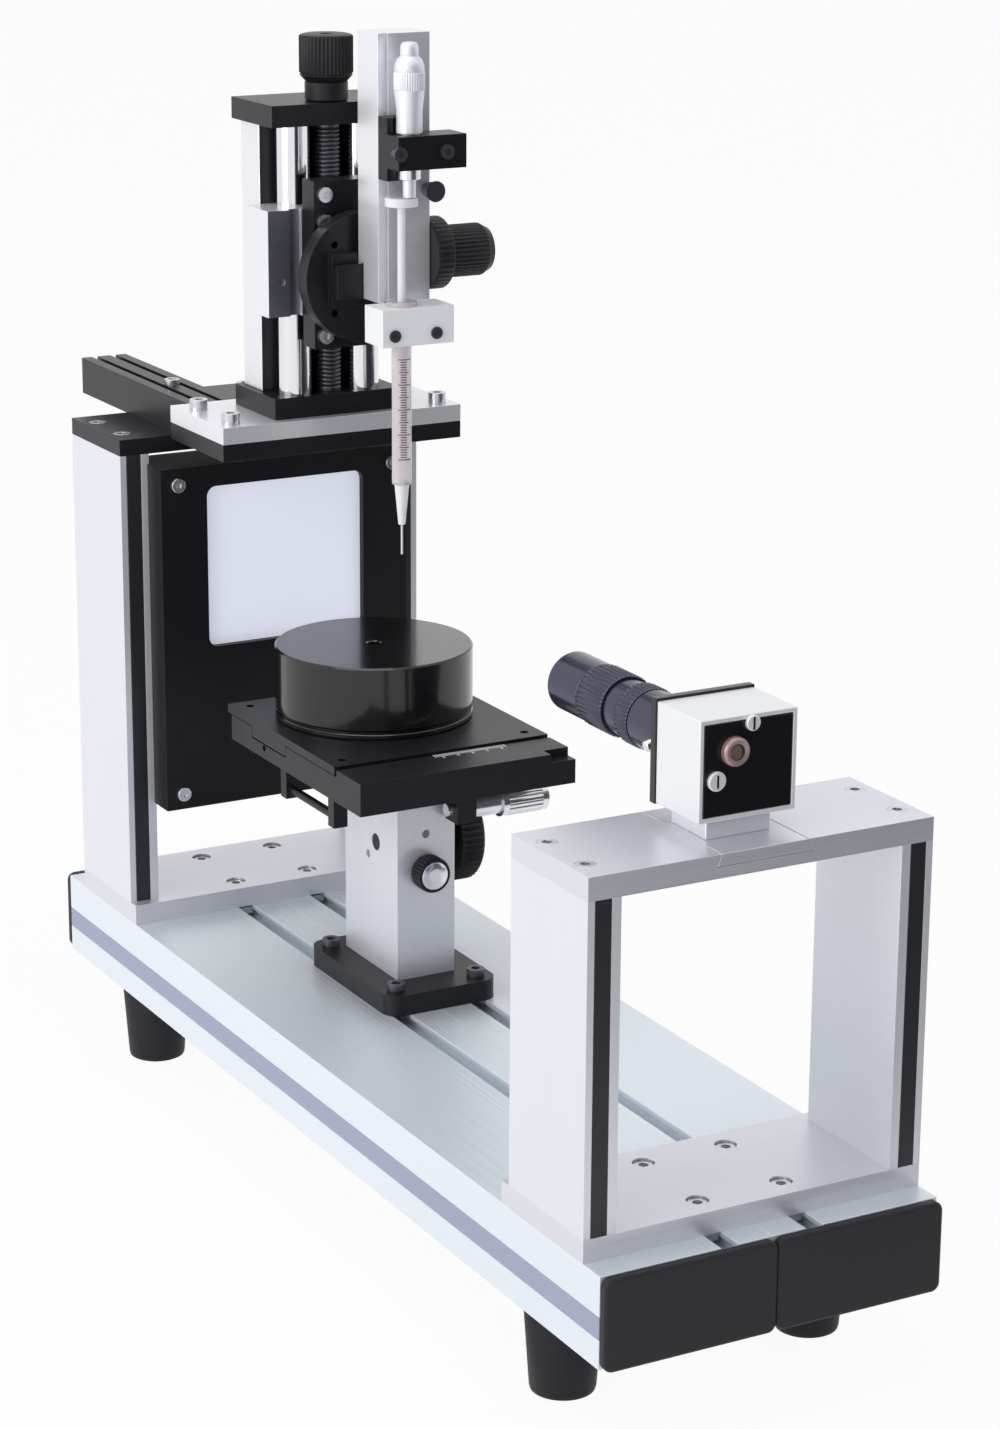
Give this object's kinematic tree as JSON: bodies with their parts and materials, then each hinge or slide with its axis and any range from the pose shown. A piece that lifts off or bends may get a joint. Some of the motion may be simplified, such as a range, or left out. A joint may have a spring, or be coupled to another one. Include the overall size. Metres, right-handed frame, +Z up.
{
  "type": "optical contact angle meter",
  "caption": "Bench contact-angle meter: camera bridge, lit tower panel, micrometer syringe on a vertical slide, and a lifting stage with a round table.",
  "frame": {"origin": "centre of the feet's contact plane, under the middle of the overall length and width", "axes": "+Z up, +Y from the camera towards the lit tower, +X to the right seen from the camera end"},
  "size_m": [0.16, 0.581, 0.524],
  "materials": {
    "silver_anodised": "satin anodised, bead blasted",
    "black_anodised": "satin black anodised",
    "black_plastic": "fine matte",
    "grey_strip": "satin",
    "foot_rubber": "matte",
    "screw_steel": "bright",
    "ground_steel": "ground and polished",
    "dark_steel": "dark, oiled",
    "lens_ring_metal": "satin, knurled",
    "opal_acrylic": "opal, even",
    "circuit_board": "lacquered",
    "optical_glass": "coated",
    "white_plastic": "satin",
    "syringe_plastic": "clear gloss"
  },
  "bodies": {
    "frame": {"base_profile_left": "silver_anodised", "base_profile_right": "silver_anodised", "end_caps": "black_plastic", "side_slot_covers": "grey_strip", "rubber_feet": "foot_rubber", "foot_screws": "screw_steel", "frame_foot_plates": "silver_anodised", "bridge_uprights": "silver_anodised", "bridge_top_plate": "silver_anodised", "tower_uprights": "silver_anodised", "tower_top_plate": "black_anodised", "upright_strips": "black_plastic", "frame_screws": "screw_steel", "light_housing": "black_anodised", "light_front_frame": "black_anodised", "light_diffuser": "opal_acrylic", "light_board": "circuit_board", "light_screws": "screw_steel", "support_beam": "black_anodised", "cantilever_plate": "black_anodised", "slide_mount_plate": "silver_anodised", "mount_plate_screws": "screw_steel", "slide_end_plates": "black_anodised", "slide_guide_rods": "ground_steel", "slide_back_plate": "silver_anodised", "column_foot_plate": "black_anodised", "column_foot_screws": "screw_steel", "lift_column": "silver_anodised"},
    "lead_screw": {"lead_screw": "dark_steel", "slide_knob": "black_plastic"},
    "carriage": {"slide_carriage": "silver_anodised", "carriage_flange": "black_anodised", "flange_screws": "screw_steel"},
    "tilt": {"tilt_disc": "black_anodised"},
    "dispenser": {"dispenser_column": "silver_anodised", "micrometer_bracket": "black_anodised", "micrometer_sleeve": "ground_steel", "syringe_holder": "white_plastic", "dispenser_screws": "screw_steel", "syringe_barrel": "syringe_plastic", "needle_hub": "white_plastic", "needle": "ground_steel"},
    "cross_knob": {"cross_knob": "black_plastic"},
    "plunger": {"plunger_rod": "ground_steel"},
    "thimble": {"micrometer_thimble": "ground_steel"},
    "stage": {"lift_ram": "dark_steel", "stage_body": "black_anodised"},
    "lift_knob": {"lift_pinion_knob": "black_plastic"},
    "clamp_knob": {"column_clamp_knob": "ground_steel"},
    "traverse": {"stage_top_plate": "black_anodised"},
    "traverse_knob": {"traverse_micrometer": "ground_steel"},
    "table": {"round_table": "black_anodised"},
    "camera": {"camera_slide_bar": "silver_anodised", "camera_block": "silver_anodised", "camera_body": "silver_anodised", "camera_fittings": "black_anodised", "lens_barrel": "black_anodised", "lens_glass": "optical_glass"},
    "focus": {"focus_ring": "lens_ring_metal"},
    "aperture": {"aperture_ring": "lens_ring_metal"}
  },
  "joints": [
    {"name": "syringe_slide", "type": "slide", "parent": "frame", "child": "carriage", "axis": [0, 0, 1], "range_m": [-0.02, 0.034]},
    {"name": "lead_screw_turn", "type": "hinge", "parent": "frame", "child": "lead_screw", "pos_m": [0, 0.1105, 0.4], "axis": [0, 0, 1], "range_deg": [-3610, 6130]},
    {"name": "syringe_tilt", "type": "hinge", "parent": "carriage", "child": "tilt", "pos_m": [0, 0.0955, 0.412], "axis": [0, 1, 0], "range_deg": [-10, 10]},
    {"name": "cross_slide", "type": "slide", "parent": "tilt", "child": "dispenser", "axis": [1, 0, 0], "range_m": [-0.006, 0.006]},
    {"name": "cross_knob_turn", "type": "hinge", "parent": "dispenser", "child": "cross_knob", "pos_m": [0.02, 0.0535, 0.424], "axis": [1, 0, 0], "range_deg": [-2170, 2170]},
    {"name": "plunger_slide", "type": "slide", "parent": "dispenser", "child": "plunger", "axis": [0, 0, 1], "range_m": [0, 0.006]},
    {"name": "thimble_turn", "type": "hinge", "parent": "plunger", "child": "thimble", "pos_m": [0.003, 0.0335, 0.48], "axis": [0, 0, 1], "range_deg": [-5, 4330]},
    {"name": "stage_lift", "type": "slide", "parent": "frame", "child": "stage", "axis": [0, 0, 1], "range_m": [0, 0.025]},
    {"name": "lift_knob_turn", "type": "hinge", "parent": "frame", "child": "lift_knob", "pos_m": [0.002, 0.0375, 0.152], "axis": [1, 0, 0], "range_deg": [-2, 241]},
    {"name": "clamp_knob_turn", "type": "hinge", "parent": "frame", "child": "clamp_knob", "pos_m": [0.002, 0.0155, 0.142], "axis": [0, -1, 0], "range_deg": [0, 360]},
    {"name": "stage_traverse", "type": "slide", "parent": "stage", "child": "traverse", "axis": [1, 0, 0], "range_m": [-0.01, 0.01]},
    {"name": "traverse_knob_turn", "type": "hinge", "parent": "stage", "child": "traverse_knob", "pos_m": [0.016, 0.0075, 0.173], "axis": [1, 0, 0], "range_deg": [-7210, 7210]},
    {"name": "table_turn", "type": "hinge", "parent": "traverse", "child": "table", "pos_m": [0, 0.0645, 0.207], "axis": [0, 0, 1], "continuous": true},
    {"name": "camera_slide", "type": "slide", "parent": "frame", "child": "camera", "axis": [0, 1, 0], "range_m": [-0.008, 0.008]},
    {"name": "focus_turn", "type": "hinge", "parent": "camera", "child": "focus", "pos_m": [0, -0.1565, 0.269], "axis": [0, 1, 0], "range_deg": [-60, 60]},
    {"name": "aperture_turn", "type": "hinge", "parent": "camera", "child": "aperture", "pos_m": [0, -0.1815, 0.269], "axis": [0, 1, 0], "range_deg": [-35, 35]}
  ],
  "couplings": [
    {"joint": "lead_screw_turn", "follows": "syringe_slide", "rad_per_m": 3141.6},
    {"joint": "cross_knob_turn", "follows": "cross_slide", "rad_per_m": 6283.2},
    {"joint": "thimble_turn", "follows": "plunger_slide", "rad_per_m": 12566},
    {"joint": "lift_knob_turn", "follows": "stage_lift", "rad_per_m": 166.67},
    {"joint": "traverse_knob_turn", "follows": "stage_traverse", "rad_per_m": 12566}
  ]
}
